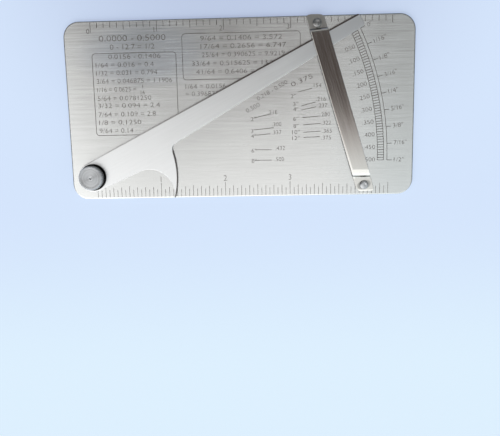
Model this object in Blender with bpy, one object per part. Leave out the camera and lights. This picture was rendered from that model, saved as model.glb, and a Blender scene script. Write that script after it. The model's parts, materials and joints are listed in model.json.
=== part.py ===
"""Pit gauge: a flat steel plate with engraved rules and a depth scale.

A pointer blade turns on a bush at the plate's lower left corner. Its claw dips
below the plate's lower edge as its far end swings down the curved scale, so the
reading edge shows how deep the claw's tip reaches. A guide strap, riveted across
the plate, keeps the blade down, and a knurled thumb knob clamps it.

The plate lies flat: X runs along its length, Y across it towards the upper rule,
and Z points up. The origin is the middle of the plate's back face.
"""

import math

import bmesh
import bpy
from mathutils import Vector

MM = 0.001
INCH = 25.4 * MM

# Plate
PLATE_LENGTH = 133.6 * MM
PLATE_WIDTH = 68.1 * MM
PLATE_THICKNESS = 1.2 * MM
PLATE_CORNER_RADIUS = 6.0 * MM
PLATE_EDGE_ROUNDING = 0.45 * MM
PLATE_CORNER_STEPS = 10

# Gaps between the pieces
SEAT_GAP = 0.2 * MM
SLIDE_GAP = 0.3 * MM
BORE_CLEARANCE = 0.1 * MM

# Pivot, measured from the plate's lower left corner
PIVOT_FROM_LEFT = 8.55 * MM
PIVOT_FROM_BOTTOM = 8.8 * MM
BUSH_RADIUS = 3.0 * MM
BUSH_WALL = 1.3 * MM
BUSH_FOOT_RADIUS = 4.0 * MM
BUSH_FOOT_THICKNESS = 0.5 * MM
BUSH_BELOW_BLADE_TOP = 0.1 * MM
FOOT_INSET = 0.1 * MM

# Pointer blade
BLADE_THICKNESS = 0.9 * MM
BLADE_BUTT_RADIUS = 5.7 * MM
BLADE_END_RADIUS = 1.0 * MM
BLADE_PAST_SCALE = 1.8 * MM
BLADE_EDGE_ROUNDING = 0.12 * MM
READING_EDGE_SPREAD = math.radians(3.1)
HEEL_EDGE_SPREAD = math.radians(3.6)
CLAW_RADIUS = 33.35 * MM
CLAW_TIP_WIDTH = 0.4 * MM
CLAW_TIP_SETBACK = 0.3 * MM
CLAW_HOLLOW_RADIUS = 9.6 * MM
CLAW_ROOT_FILLET = 2.3 * MM

# Guide strap, with its rivets measured from the plate's right, upper and lower edges
STRAP_WIDTH = 6.6 * MM
STRAP_THICKNESS = 0.7 * MM
STRAP_EDGE_CHAMFER = 0.12 * MM
STRAP_CORNER_DEPTH = 1.0 * MM
UPPER_RIVET_FROM_RIGHT = 36.95 * MM
UPPER_RIVET_FROM_TOP = 2.9 * MM
UPPER_RISER_FROM_RIVET = 2.45 * MM
UPPER_END_FROM_RIVET = 3.15 * MM
UPPER_CORNER_WIDTH = 2.2 * MM
UPPER_FOLD_TILT = math.radians(6)
UPPER_BEND_RADIUS = 0.7 * MM
UPPER_RISER_ANGLE = math.radians(78)
LOWER_RIVET_FROM_RIGHT = 18.95 * MM
LOWER_RIVET_FROM_BOTTOM = 4.05 * MM
LOWER_RISER_FROM_RIVET = 3.6 * MM
LOWER_END_FROM_RIVET = 2.4 * MM
LOWER_CORNER_WIDTH = 1.0 * MM
LOWER_BEND_RADIUS = 1.2 * MM
LOWER_RISER_ANGLE = math.radians(62)

# Rivets
RIVET_RADIUS = 1.1 * MM
RIVET_HEAD_RADIUS = 1.7 * MM
RIVET_HEAD_HEIGHT = 0.6 * MM
RIVET_FLAT_RADIUS = 0.9 * MM
RIVET_TAIL_RADIUS = 1.75 * MM
RIVET_TAIL_DEPTH = 0.55 * MM

# Pressure washer
WASHER_RADIUS = 4.1 * MM
WASHER_THICKNESS = 0.5 * MM

# Thumb knob
KNOB_RADIUS = 4.75 * MM
KNOB_HEIGHT = 3.4 * MM
KNOB_CHAMFER = 0.4 * MM
KNOB_TEETH = 40
KNOB_TOOTH_DEPTH = 0.22 * MM
KNOB_NECK_RADIUS = 1.8 * MM
KNOB_DISH_RADIUS = 3.8 * MM
KNOB_DISH_DEPTH = 0.12 * MM
KNOB_PIP_RADIUS = 0.5 * MM
KNOB_PIP_DEPTH = 0.3 * MM
SCREW_END_INSET = 0.4 * MM
SCREW_END_CHAMFER = 0.2 * MM

# Engraving
GROOVE_WIDTH = 0.2 * MM
GROOVE_DEPTH = 0.12 * MM
LOWER_RULE_START = 9.75 * MM
UPPER_RULE_START = 10.6 * MM
RULE_END_MARGIN = 8.0 * MM
TICK_FROM_EDGE = 0.55 * MM
LOWER_DIVISIONS = 16
UPPER_DIVISIONS = 10
LOWER_TICK_LENGTHS = {16: 5.3 * MM, 8: 4.3 * MM, 2: 3.9 * MM, 1: 2.9 * MM}
UPPER_TICK_LENGTHS = {10: 3.8 * MM, 5: 2.8 * MM, 1: 2.0 * MM}

# Depth scale: arcs about a centre near the pivot
SCALE_CENTRE_FROM_LEFT = 10.95 * MM
SCALE_CENTRE_FROM_BOTTOM = 15.4 * MM
FRACTION_ARC_FROM_RIGHT = 10.05 * MM
LADDER_OUTSIDE_FROM_FRACTION_ARC = 1.3 * MM
LADDER_WIDTH = 2.4 * MM
FRACTION_TICK_LENGTH = 1.9 * MM
SCALE_DEPTH = 0.5 * INCH
LADDER_STEPS = 50
FRACTION_STEPS = 8
ARC_STEPS = 24

# Frames round the two number panels: left, bottom, right and top from the lower left corner
LEFT_FRAME = (10.65 * MM, 25.0 * MM, 42.95 * MM, 56.1 * MM)
RIGHT_FRAME = (45.45 * MM, 45.5 * MM, 90.35 * MM, 62.6 * MM)
FRAME_CORNER_RADIUS = 1.2 * MM
FRAME_CORNER_STEPS = 4

# Leader lines of the wall table: each line's left and right ends, in millimetres
# from the lower left corner
HEAVY_LEADERS = (
    ((72.55, 30.6), (78.55, 31.9)),
    ((72.85, 26.0), (79.85, 26.7)),
    ((72.25, 23.9), (78.55, 24.4)),
    ((72.55, 18.3), (78.85, 18.2)),
    ((72.25, 14.2), (78.85, 14.2)),
)
STANDARD_LEADERS = (
    ((89.15, 40.0), (94.75, 41.3)),
    ((90.65, 34.8), (96.05, 36.1)),
    ((90.65, 33.2), (96.25, 34.3)),
    ((90.95, 30.3), (97.65, 30.8)),
    ((91.25, 27.5), (97.95, 28.0)),
    ((91.25, 24.7), (97.95, 25.0)),
    ((91.35, 22.7), (97.65, 22.9)),
)

# Finishes: base colour and roughness
PLATE_STEEL = ((0.62, 0.61, 0.58), 0.36)
BLADE_STEEL = ((0.66, 0.67, 0.68), 0.30)
STRAP_STEEL = ((0.56, 0.54, 0.51), 0.14)
RIVET_STEEL = ((0.55, 0.54, 0.52), 0.25)
TURNED_STEEL = ((0.58, 0.59, 0.61), 0.24)

# Steps of round shapes
ROUND_STEPS = 48
RIVET_STEPS = 32
SHOULDER_STEPS = 6
BUTT_STEPS = 20
CLAW_STEPS = 16
FILLET_STEPS = 6
BLADE_END_STEPS = 5
BEND_STEPS = 6
CORNER_STEPS = 6
ROUNDING_SEGMENTS = 2

SHARP_FROM = math.radians(35)
ROUNDED_FROM = math.radians(50)
ZERO_LENGTH = 1e-7

# Heights of the stack on the plate
PLATE_TOP = PLATE_THICKNESS
BLADE_BOTTOM = PLATE_TOP + SLIDE_GAP
BLADE_TOP = BLADE_BOTTOM + BLADE_THICKNESS
TAB_BOTTOM = PLATE_TOP + SEAT_GAP
TAB_TOP = TAB_BOTTOM + STRAP_THICKNESS
STRAP_LIFT = BLADE_TOP + SLIDE_GAP - TAB_BOTTOM
WASHER_BOTTOM = BLADE_TOP + SEAT_GAP
WASHER_TOP = WASHER_BOTTOM + WASHER_THICKNESS
KNOB_BOTTOM = WASHER_TOP + SEAT_GAP
KNOB_TOP = KNOB_BOTTOM + KNOB_HEIGHT

# Shared round sizes
SCREW_HOLE_RADIUS = BUSH_RADIUS - BUSH_WALL
SCREW_RADIUS = SCREW_HOLE_RADIUS - SEAT_GAP
RIVET_HOLE_RADIUS = RIVET_RADIUS + SEAT_GAP

PIVOT = Vector((PIVOT_FROM_LEFT, PIVOT_FROM_BOTTOM))
UPPER_RIVET = Vector((PLATE_LENGTH - UPPER_RIVET_FROM_RIGHT, PLATE_WIDTH - UPPER_RIVET_FROM_TOP))
LOWER_RIVET = Vector((PLATE_LENGTH - LOWER_RIVET_FROM_RIGHT, LOWER_RIVET_FROM_BOTTOM))
SCALE_CENTRE = Vector((SCALE_CENTRE_FROM_LEFT, SCALE_CENTRE_FROM_BOTTOM))
FRACTION_ARC_RADIUS = PLATE_LENGTH - FRACTION_ARC_FROM_RIGHT - SCALE_CENTRE_FROM_LEFT
LADDER_OUTER_RADIUS = FRACTION_ARC_RADIUS - LADDER_OUTSIDE_FROM_FRACTION_ARC
LADDER_INNER_RADIUS = LADDER_OUTER_RADIUS - LADDER_WIDTH


def heading(angle):
    """The unit vector that points at an angle from +X."""
    return Vector((math.cos(angle), math.sin(angle)))


def left_of(direction):
    """The unit vector a quarter turn to the left of a direction."""
    return Vector((-direction.y, direction.x))


def angle_of(vector):
    return math.atan2(vector.y, vector.x)


def arc(centre, radius, start, end, steps):
    """Points along an arc, both ends included."""
    return [centre + radius * heading(start + (end - start) * i / steps) for i in range(steps + 1)]


def line_meets_circle(point, direction, centre, radius):
    """The point where a line leaves a circle."""
    along = (centre - point).dot(direction)
    aside = (centre - point).dot(left_of(direction))
    return point + direction * (along + math.sqrt(radius ** 2 - aside ** 2))


# Guide strap's plan: it leans, while its folds run nearly along the plate
STRAP_DIRECTION = (LOWER_RIVET - UPPER_RIVET).normalized()
STRAP_SIDE = left_of(STRAP_DIRECTION)


def strap_centre(y):
    """The point of the strap's middle line at a height y on the plate."""
    return UPPER_RIVET + STRAP_DIRECTION * ((y - UPPER_RIVET.y) / STRAP_DIRECTION.y)


def strap_side_point(y, tilt, side, inset=0.0):
    """A point of the strap's edge, on the fold line through the middle line at y."""
    fold = heading(tilt)
    half = (STRAP_WIDTH / 2 - inset) / abs(fold.dot(STRAP_SIDE))
    return strap_centre(y) + fold * (side * half)


# Pointer blade's plan, at the zero reading
UPPER_RISER_Y = UPPER_RIVET.y - UPPER_RISER_FROM_RIVET
LOWER_RISER_Y = LOWER_RIVET.y + LOWER_RISER_FROM_RIVET
STOP_OFFSET = STRAP_THICKNESS / 2 / math.sin(UPPER_RISER_ANGLE) + SLIDE_GAP
STOP_CORNER = strap_side_point(UPPER_RISER_Y, UPPER_FOLD_TILT, 1) - Vector((0, STOP_OFFSET))
STOP_REACH = (STOP_CORNER - PIVOT).length
UPPER_EDGE_ANGLE = angle_of(STOP_CORNER - PIVOT) - math.asin(BLADE_BUTT_RADIUS / STOP_REACH)
READING_EDGE_ANGLE = UPPER_EDGE_ANGLE + READING_EDGE_SPREAD
HEEL_EDGE_ANGLE = UPPER_EDGE_ANGLE - HEEL_EDGE_SPREAD
CLAW_TIP_DROP = PIVOT.y - CLAW_TIP_SETBACK


def claw_angle(depth):
    """How far the pointer has turned when its tip reaches a depth below the plate's edge."""
    tip_radius = CLAW_RADIUS - CLAW_TIP_WIDTH / 2
    return math.asin((CLAW_TIP_DROP + depth) / tip_radius) - math.asin(CLAW_TIP_DROP / tip_radius)


def reading_point(depth, radius):
    """Where the reading edge crosses a scale arc at a depth."""
    along = heading(READING_EDGE_ANGLE - claw_angle(depth))
    foot = PIVOT - left_of(along) * BLADE_BUTT_RADIUS
    return line_meets_circle(foot, along, SCALE_CENTRE, radius)


BLADE_REACH = (reading_point(0.0, FRACTION_ARC_RADIUS) - PIVOT).length + BLADE_PAST_SCALE


def on_plate(point, z=0.0):
    """A point measured from the plate's lower left corner, in the part's frame."""
    return Vector((point.x - PLATE_LENGTH / 2, point.y - PLATE_WIDTH / 2, z))


def clear_scene():
    for thing in list(bpy.data.objects):
        bpy.data.objects.remove(thing, do_unlink=True)


def steel(name, colour, roughness):
    """A bare metal material."""
    material = bpy.data.materials.new(name)
    material.use_nodes = True
    shader = material.node_tree.nodes["Principled BSDF"]
    shader.inputs["Base Color"].default_value = (*colour, 1.0)
    shader.inputs["Metallic"].default_value = 1.0
    shader.inputs["Roughness"].default_value = roughness
    return material


def make_object(name, bm, material=None, location=(0, 0, 0)):
    """An object from a bmesh, shaded smooth apart from its sharp edges."""
    bmesh.ops.recalc_face_normals(bm, faces=bm.faces)
    mesh = bpy.data.meshes.new(name)
    bm.to_mesh(mesh)
    bm.free()
    mesh.shade_smooth()
    mesh.set_sharp_from_angle(angle=SHARP_FROM)
    thing = bpy.data.objects.new(name, mesh)
    thing.location = location
    bpy.context.scene.collection.objects.link(thing)
    if material:
        mesh.materials.append(material)
    return thing


def make_cutter(name, bm, location=(0, 0, 0)):
    """A shape that only cuts others."""
    cutter = make_object(name, bm, location=location)
    cutter.display_type = "WIRE"
    cutter.hide_render = True
    return cutter


def cut(thing, cutter, crossing=False):
    """Cut one object with another. A cutter whose own shapes cross says so."""
    modifier = thing.modifiers.new(cutter.name, "BOOLEAN")
    modifier.operation = "DIFFERENCE"
    modifier.solver = "EXACT"
    modifier.use_self = crossing
    modifier.object = cutter


def round_edges(thing, width):
    modifier = thing.modifiers.new("edge rounding", "BEVEL")
    modifier.width = width
    modifier.segments = ROUNDING_SEGMENTS
    modifier.limit_method = "ANGLE"
    modifier.angle_limit = ROUNDED_FROM


def prism(outline, bottom, top):
    """A bmesh that stands on an outline, from bottom to top."""
    bm = bmesh.new()
    face = bm.faces.new([bm.verts.new((*point, bottom)) for point in outline])
    lifted = bmesh.ops.extrude_face_region(bm, geom=[face])
    raised = [item for item in lifted["geom"] if isinstance(item, bmesh.types.BMVert)]
    bmesh.ops.translate(bm, verts=raised, vec=(0, 0, top - bottom))
    return bm


def turned(profile, steps=ROUND_STEPS, closed=False):
    """A bmesh turned about Z from (radius, height) points. A closed profile makes a ring."""
    bm = bmesh.new()
    verts = [bm.verts.new((radius, 0, height)) for radius, height in profile]
    pairs = list(zip(verts, verts[1:]))
    if closed:
        pairs.append((verts[-1], verts[0]))
    edges = [bm.edges.new(pair) for pair in pairs]
    bmesh.ops.spin(
        bm, geom=verts + edges, cent=(0, 0, 0), axis=(0, 0, 1), angle=math.tau, steps=steps, use_merge=True,
    )
    bmesh.ops.remove_doubles(bm, verts=bm.verts, dist=ZERO_LENGTH)
    return bm


def rounded_rectangle(left, bottom, right, top, radius, steps):
    """The outline of a rectangle with round corners, anticlockwise."""
    corners = (
        (Vector((right - radius, top - radius)), 0.0),
        (Vector((left + radius, top - radius)), math.pi / 2),
        (Vector((left + radius, bottom + radius)), math.pi),
        (Vector((right - radius, bottom + radius)), 1.5 * math.pi),
    )
    outline = []
    for centre, start in corners:
        outline += arc(centre, radius, start, start + math.pi / 2, steps)
    return outline


def groove(bm, points, closed=False):
    """Add the cutter of one engraved line, with square ends, along a run of points."""
    half = GROOVE_WIDTH / 2
    count = len(points)
    rails = []
    for i, point in enumerate(points):
        before = points[i - 1] if i > 0 or closed else point
        after = points[(i + 1) % count] if i < count - 1 or closed else point
        aside = left_of((after - before).normalized()) * half
        ring = []
        for side, z in ((1, -GROOVE_DEPTH), (-1, -GROOVE_DEPTH), (-1, GROOVE_DEPTH), (1, GROOVE_DEPTH)):
            ring.append(bm.verts.new(on_plate(point + aside * side, PLATE_TOP + z)))
        rails.append(ring)
    spans = list(zip(rails, rails[1:]))
    if closed:
        spans.append((rails[-1], rails[0]))
    for start, end in spans:
        for i in range(4):
            j = (i + 1) % 4
            bm.faces.new((start[i], start[j], end[j], end[i]))
    if not closed:
        bm.faces.new(reversed(rails[0]))
        bm.faces.new(rails[-1])


def rule_length(start):
    """A rule is as long as whole half inches fit between its start and the end margin."""
    room = PLATE_LENGTH - RULE_END_MARGIN - start
    return math.floor(room / (INCH / 2) + ZERO_LENGTH) * INCH / 2


def tick_length(index, lengths):
    """The longest mark whose step divides the index."""
    return max(length for step, length in lengths.items() if index % step == 0)


def engrave_lower_rule(bm):
    """Sixteenths of an inch along the lower edge."""
    for i in range(round(rule_length(LOWER_RULE_START) / INCH * LOWER_DIVISIONS) + 1):
        x = LOWER_RULE_START + i * INCH / LOWER_DIVISIONS
        top = TICK_FROM_EDGE + tick_length(i, LOWER_TICK_LENGTHS)
        groove(bm, [Vector((x, TICK_FROM_EDGE)), Vector((x, top))])


def engrave_upper_rule(bm):
    """Tenths of an inch along the upper edge."""
    top = PLATE_WIDTH - TICK_FROM_EDGE
    for i in range(round(rule_length(UPPER_RULE_START) / INCH * UPPER_DIVISIONS) + 1):
        x = UPPER_RULE_START + i * INCH / UPPER_DIVISIONS
        groove(bm, [Vector((x, top)), Vector((x, top - tick_length(i, UPPER_TICK_LENGTHS)))])


def scale_direction(share, radius):
    """The way to a mark from the scale's centre. The marks are evenly spaced between the
    reading edge's places at zero and at full depth."""
    start = angle_of(reading_point(0.0, radius) - SCALE_CENTRE)
    end = angle_of(reading_point(SCALE_DEPTH, LADDER_INNER_RADIUS) - SCALE_CENTRE)
    return heading(start + (end - start) * share)


def engrave_scale(bm):
    """The ladder of hundredths, the arc of sixteenths and the marks on it."""
    for radius in (LADDER_INNER_RADIUS, LADDER_OUTER_RADIUS, FRACTION_ARC_RADIUS):
        directions = [scale_direction(i / ARC_STEPS, radius) for i in range(ARC_STEPS + 1)]
        groove(bm, [SCALE_CENTRE + out * radius for out in directions])
    for steps, radius, length in (
        (LADDER_STEPS, LADDER_INNER_RADIUS, LADDER_WIDTH),
        (FRACTION_STEPS, FRACTION_ARC_RADIUS, FRACTION_TICK_LENGTH),
    ):
        for i in range(steps + 1):
            out = scale_direction(i / steps, radius)
            groove(bm, [SCALE_CENTRE + out * radius, SCALE_CENTRE + out * (radius + length)])


def engrave_panels(bm):
    """The frames of the number panels and the leader lines of the wall table."""
    for frame in (LEFT_FRAME, RIGHT_FRAME):
        groove(bm, rounded_rectangle(*frame, FRAME_CORNER_RADIUS, FRAME_CORNER_STEPS), closed=True)
    for line in HEAVY_LEADERS + STANDARD_LEADERS:
        groove(bm, [Vector(end) * MM for end in line])


def engraving_cutter():
    bm = bmesh.new()
    engrave_lower_rule(bm)
    engrave_upper_rule(bm)
    engrave_scale(bm)
    engrave_panels(bm)
    return make_cutter("engraving_cutter", bm)


def rivet_hole_cutter(name, place):
    """A hole with a sunk seat for the rivet's tail, open at the back."""
    flare = (RIVET_TAIL_RADIUS - RIVET_RADIUS) / RIVET_TAIL_DEPTH
    mouth = RIVET_TAIL_RADIUS + SEAT_GAP + flare * (FOOT_INSET + PLATE_THICKNESS)
    neck = FOOT_INSET + RIVET_TAIL_DEPTH
    bm = turned([
        (0, -PLATE_THICKNESS), (mouth, -PLATE_THICKNESS), (RIVET_HOLE_RADIUS, neck),
        (RIVET_HOLE_RADIUS, TAB_TOP + PLATE_THICKNESS), (0, TAB_TOP + PLATE_THICKNESS),
    ])
    return make_cutter(name, bm, on_plate(place))


def bush_hole_cutter():
    """The bush's hole, with a flat seat for its foot in the back."""
    seat = FOOT_INSET + BUSH_FOOT_THICKNESS + SEAT_GAP
    wide = BUSH_FOOT_RADIUS + SEAT_GAP
    narrow = BUSH_RADIUS + SEAT_GAP
    bm = turned([
        (0, -PLATE_THICKNESS), (wide, -PLATE_THICKNESS), (wide, seat), (narrow, seat),
        (narrow, 2 * PLATE_THICKNESS), (0, 2 * PLATE_THICKNESS),
    ])
    return make_cutter("bush_hole_cutter", bm, on_plate(PIVOT))


def blade_bore_cutter():
    radius = BUSH_RADIUS + BORE_CLEARANCE
    bm = turned([(0, PLATE_TOP), (radius, PLATE_TOP), (radius, WASHER_TOP), (0, WASHER_TOP)])
    return make_cutter("blade_bore_cutter", bm, on_plate(PIVOT))


def build_plate(material, rivet_holes):
    outline = rounded_rectangle(0, 0, PLATE_LENGTH, PLATE_WIDTH, PLATE_CORNER_RADIUS, PLATE_CORNER_STEPS)
    bm = prism([on_plate(point).xy for point in outline], 0, PLATE_TOP)
    plate = make_object("base_plate", bm, material)
    round_edges(plate, PLATE_EDGE_ROUNDING)
    cut(plate, bush_hole_cutter())
    for hole in rivet_holes:
        cut(plate, hole)
    cut(plate, engraving_cutter(), crossing=True)


def blade_outline():
    """The pointer's outline at the zero reading, anticlockwise from its far lower corner."""
    upper = heading(UPPER_EDGE_ANGLE)
    reading = heading(READING_EDGE_ANGLE)
    heel = heading(HEEL_EDGE_ANGLE)
    upper_foot = PIVOT + left_of(upper) * BLADE_BUTT_RADIUS
    reading_foot = PIVOT - left_of(reading) * BLADE_BUTT_RADIUS
    heel_foot = PIVOT - left_of(heel) * BLADE_BUTT_RADIUS
    butt_start = UPPER_EDGE_ANGLE + math.pi / 2
    butt_end = HEEL_EDGE_ANGLE + 1.5 * math.pi
    return (
        far_corner(reading_foot, reading, 1)
        + far_corner(upper_foot, upper, -1)
        + arc(PIVOT, BLADE_BUTT_RADIUS, butt_start, butt_end, BUTT_STEPS)
        + claw_hollow(heel_foot, heel)
        + claw_back(reading_foot, reading)
    )


def far_corner(foot, along, side):
    """A round corner between a long edge and the blade's end, which is an arc about the pivot."""
    inner = foot + left_of(along) * (side * BLADE_END_RADIUS)
    centre = line_meets_circle(inner, along, PIVOT, BLADE_REACH - BLADE_END_RADIUS)
    end = angle_of(centre - PIVOT)
    edge = angle_of(along) - side * math.pi / 2
    points = arc(centre, BLADE_END_RADIUS, edge, end, BLADE_END_STEPS)
    return points if side > 0 else points[::-1]


def claw_hollow(foot, along):
    """The round hollow from the heel edge down to the claw's tip."""
    drop = math.asin(CLAW_TIP_DROP / CLAW_RADIUS)
    tip = PIVOT + heading(-drop) * CLAW_RADIUS - Vector((CLAW_TIP_WIDTH, 0))
    radius = CLAW_HOLLOW_RADIUS
    lowered = foot - left_of(along) * radius
    middle = (tip - lowered).dot(along)
    aside = (tip - lowered).dot(left_of(along))
    centre = lowered + along * (middle - math.sqrt(radius ** 2 - aside ** 2))
    return arc(centre, radius, angle_of(left_of(along)), angle_of(tip - centre), CLAW_STEPS)


def claw_back(foot, along):
    """The claw's outer edge, an arc about the pivot, and its fillet into the reading edge."""
    drop = math.asin(CLAW_TIP_DROP / CLAW_RADIUS)
    lowered = foot - left_of(along) * CLAW_ROOT_FILLET
    centre = line_meets_circle(lowered, along, PIVOT, CLAW_RADIUS + CLAW_ROOT_FILLET)
    joint = angle_of(centre - PIVOT)
    back = arc(PIVOT, CLAW_RADIUS, -drop, joint, CLAW_STEPS)
    fillet = arc(centre, CLAW_ROOT_FILLET, joint + math.pi, angle_of(left_of(along)), FILLET_STEPS)
    return back + fillet[1:]


def build_blade(material):
    """The pointer turns about its own origin, on the pivot's axis."""
    outline = [point - PIVOT for point in blade_outline()]
    bm = prism(outline, BLADE_BOTTOM, BLADE_TOP)
    blade = make_object("pointer_blade", bm, material, on_plate(PIVOT))
    round_edges(blade, BLADE_EDGE_ROUNDING)
    cut(blade, blade_bore_cutter())


def riser_stations(fold_y, direction, tilt, bend_radius, angle):
    """Stations up a riser: an inner bend, a short steep web and an outer bend."""
    radius = min(bend_radius, STRAP_LIFT / 2 / (1 - math.cos(angle)))
    rise = STRAP_LIFT - 2 * radius * (1 - math.cos(angle))
    reach = radius * math.sin(angle) + rise / math.tan(angle) / 2
    stations = []
    for i in range(BEND_STEPS + 1):
        turn = angle * i / BEND_STEPS
        back = reach - radius * math.sin(turn)
        height = radius * (1 - math.cos(turn))
        stations.append((fold_y - direction * back, height, direction * turn, tilt, 0.0))
    for i in range(BEND_STEPS + 1):
        turn = angle * (1 - i / BEND_STEPS)
        back = reach - radius * math.sin(turn)
        height = STRAP_LIFT - radius * (1 - math.cos(turn))
        stations.append((fold_y + direction * back, height, direction * turn, tilt, 0.0))
    return stations


def strap_end_stations(end_y, direction, corner_width):
    """Stations round the corners of a tab, from its end inwards."""
    stations = []
    for i in range(CORNER_STEPS + 1):
        turn = math.pi / 2 * i / CORNER_STEPS
        along = STRAP_CORNER_DEPTH * (1 - math.cos(turn))
        inset = corner_width * (1 - math.sin(turn))
        stations.append((end_y + direction * along, 0.0, 0.0, 0.0, inset))
    return stations


def strap_ring(bm, station):
    """The strap's section at a station: a thin rectangle with small chamfers."""
    y, height, slope, tilt, inset = station
    fold = heading(tilt)
    back = left_of(fold)
    normal = Vector((-back.x * math.sin(slope), -back.y * math.sin(slope), math.cos(slope)))
    thick = STRAP_THICKNESS / 2
    chamfer = STRAP_EDGE_CHAMFER
    ring = []
    for side, trim, lift in (
        (1, 0, thick - chamfer), (1, chamfer, thick), (-1, chamfer, thick), (-1, 0, thick - chamfer),
        (-1, 0, chamfer - thick), (-1, chamfer, -thick), (1, chamfer, -thick), (1, 0, chamfer - thick),
    ):
        edge = strap_side_point(y, tilt, side, inset + trim)
        ring.append(bm.verts.new(on_plate(edge, TAB_BOTTOM + thick + height) + normal * lift))
    return ring


def build_strap(material, rivet_holes):
    """A bent strip, lofted from tab to tab through the sections at its stations."""
    upper_end = UPPER_RIVET.y + UPPER_END_FROM_RIVET
    lower_end = LOWER_RIVET.y - LOWER_END_FROM_RIVET
    stations = strap_end_stations(upper_end, -1, UPPER_CORNER_WIDTH)
    stations += riser_stations(UPPER_RISER_Y, -1, UPPER_FOLD_TILT, UPPER_BEND_RADIUS, UPPER_RISER_ANGLE)
    stations += reversed(riser_stations(LOWER_RISER_Y, 1, 0.0, LOWER_BEND_RADIUS, LOWER_RISER_ANGLE))
    stations += reversed(strap_end_stations(lower_end, 1, LOWER_CORNER_WIDTH))
    bm = bmesh.new()
    rings = [strap_ring(bm, station) for station in stations]
    for upper, lower in zip(rings, rings[1:]):
        for i in range(len(upper)):
            bm.faces.new((upper[i - 1], upper[i], lower[i], lower[i - 1]))
    bm.faces.new(rings[0])
    bm.faces.new(rings[-1])
    strap = make_object("guide_strap", bm, material)
    for hole in rivet_holes:
        cut(strap, hole)


def rivet_profile():
    """A low head with a round shoulder and a flat top, a shank and a flared tail."""
    shoulder = RIVET_HEAD_RADIUS - RIVET_FLAT_RADIUS
    seat = TAB_TOP + SEAT_GAP
    tail_top = FOOT_INSET + RIVET_TAIL_DEPTH
    profile = [
        (0, FOOT_INSET), (RIVET_TAIL_RADIUS, FOOT_INSET), (RIVET_RADIUS, tail_top), (RIVET_RADIUS, seat),
    ]
    for i in range(SHOULDER_STEPS + 1):
        turn = math.pi / 2 * i / SHOULDER_STEPS
        reach = RIVET_FLAT_RADIUS + shoulder * math.cos(turn)
        profile.append((reach, seat + RIVET_HEAD_HEIGHT * math.sin(turn)))
    return profile + [(0, seat + RIVET_HEAD_HEIGHT)]


def build_rivet(name, place, material):
    make_object(name, turned(rivet_profile(), RIVET_STEPS), material, on_plate(place))


def build_bush(material):
    """A tapped bush: its foot is sunk in the plate's back, and the blade turns on its shank."""
    foot_top = FOOT_INSET + BUSH_FOOT_THICKNESS
    top = BLADE_TOP - BUSH_BELOW_BLADE_TOP
    profile = [
        (SCREW_HOLE_RADIUS, FOOT_INSET), (BUSH_FOOT_RADIUS, FOOT_INSET), (BUSH_FOOT_RADIUS, foot_top),
        (BUSH_RADIUS, foot_top), (BUSH_RADIUS, top), (SCREW_HOLE_RADIUS, top),
    ]
    make_object("pivot_bush", turned(profile, closed=True), material, on_plate(PIVOT))


def build_washer(material):
    bore = KNOB_NECK_RADIUS + BORE_CLEARANCE
    profile = [
        (bore, WASHER_BOTTOM), (WASHER_RADIUS, WASHER_BOTTOM),
        (WASHER_RADIUS, WASHER_TOP), (bore, WASHER_TOP),
    ]
    make_object("pressure_washer", turned(profile, closed=True), material, on_plate(PIVOT))


def knob_profile():
    """The knob's section from its screw's end to the pip in the middle of its top."""
    neck_end = BLADE_TOP - BUSH_BELOW_BLADE_TOP + SEAT_GAP
    rim = KNOB_RADIUS - KNOB_CHAMFER
    return [
        (0, SCREW_END_INSET),
        (SCREW_RADIUS - SCREW_END_CHAMFER, SCREW_END_INSET),
        (SCREW_RADIUS, SCREW_END_INSET + SCREW_END_CHAMFER),
        (SCREW_RADIUS, neck_end),
        (KNOB_NECK_RADIUS, neck_end),
        (KNOB_NECK_RADIUS, KNOB_BOTTOM),
        (rim, KNOB_BOTTOM),
        (KNOB_RADIUS, KNOB_BOTTOM + KNOB_CHAMFER),
        (KNOB_RADIUS, KNOB_TOP - KNOB_CHAMFER),
        (rim, KNOB_TOP),
        (KNOB_DISH_RADIUS, KNOB_TOP),
        (KNOB_DISH_RADIUS - KNOB_DISH_DEPTH, KNOB_TOP - KNOB_DISH_DEPTH),
        (KNOB_PIP_RADIUS, KNOB_TOP - KNOB_DISH_DEPTH),
        (0, KNOB_TOP - KNOB_DISH_DEPTH - KNOB_PIP_DEPTH),
    ]


def build_knob(material):
    """A turned thumb screw. Every second point of its rim is drawn in to make the knurl's teeth."""
    steps = 2 * KNOB_TEETH
    bm = turned(knob_profile(), steps)
    for vert in bm.verts:
        reach = vert.co.xy.length
        place = round(angle_of(vert.co) / math.tau * steps)
        if abs(reach - KNOB_RADIUS) < ZERO_LENGTH and place % 2:
            vert.co.xy *= 1 - KNOB_TOOTH_DEPTH / reach
    make_object("thumb_knob", bm, material, on_plate(PIVOT))


def main():
    clear_scene()
    plate_steel = steel("brushed plate steel", *PLATE_STEEL)
    blade_steel = steel("pointer steel", *BLADE_STEEL)
    strap_steel = steel("bright strap steel", *STRAP_STEEL)
    rivet_steel = steel("rivet steel", *RIVET_STEEL)
    turned_steel = steel("turned steel", *TURNED_STEEL)
    rivet_holes = [
        rivet_hole_cutter("upper_rivet_hole", UPPER_RIVET),
        rivet_hole_cutter("lower_rivet_hole", LOWER_RIVET),
    ]
    build_plate(plate_steel, rivet_holes)
    build_strap(strap_steel, rivet_holes)
    build_rivet("upper_rivet", UPPER_RIVET, rivet_steel)
    build_rivet("lower_rivet", LOWER_RIVET, rivet_steel)
    build_bush(turned_steel)
    build_blade(blade_steel)
    build_washer(turned_steel)
    build_knob(turned_steel)


main()
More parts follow.
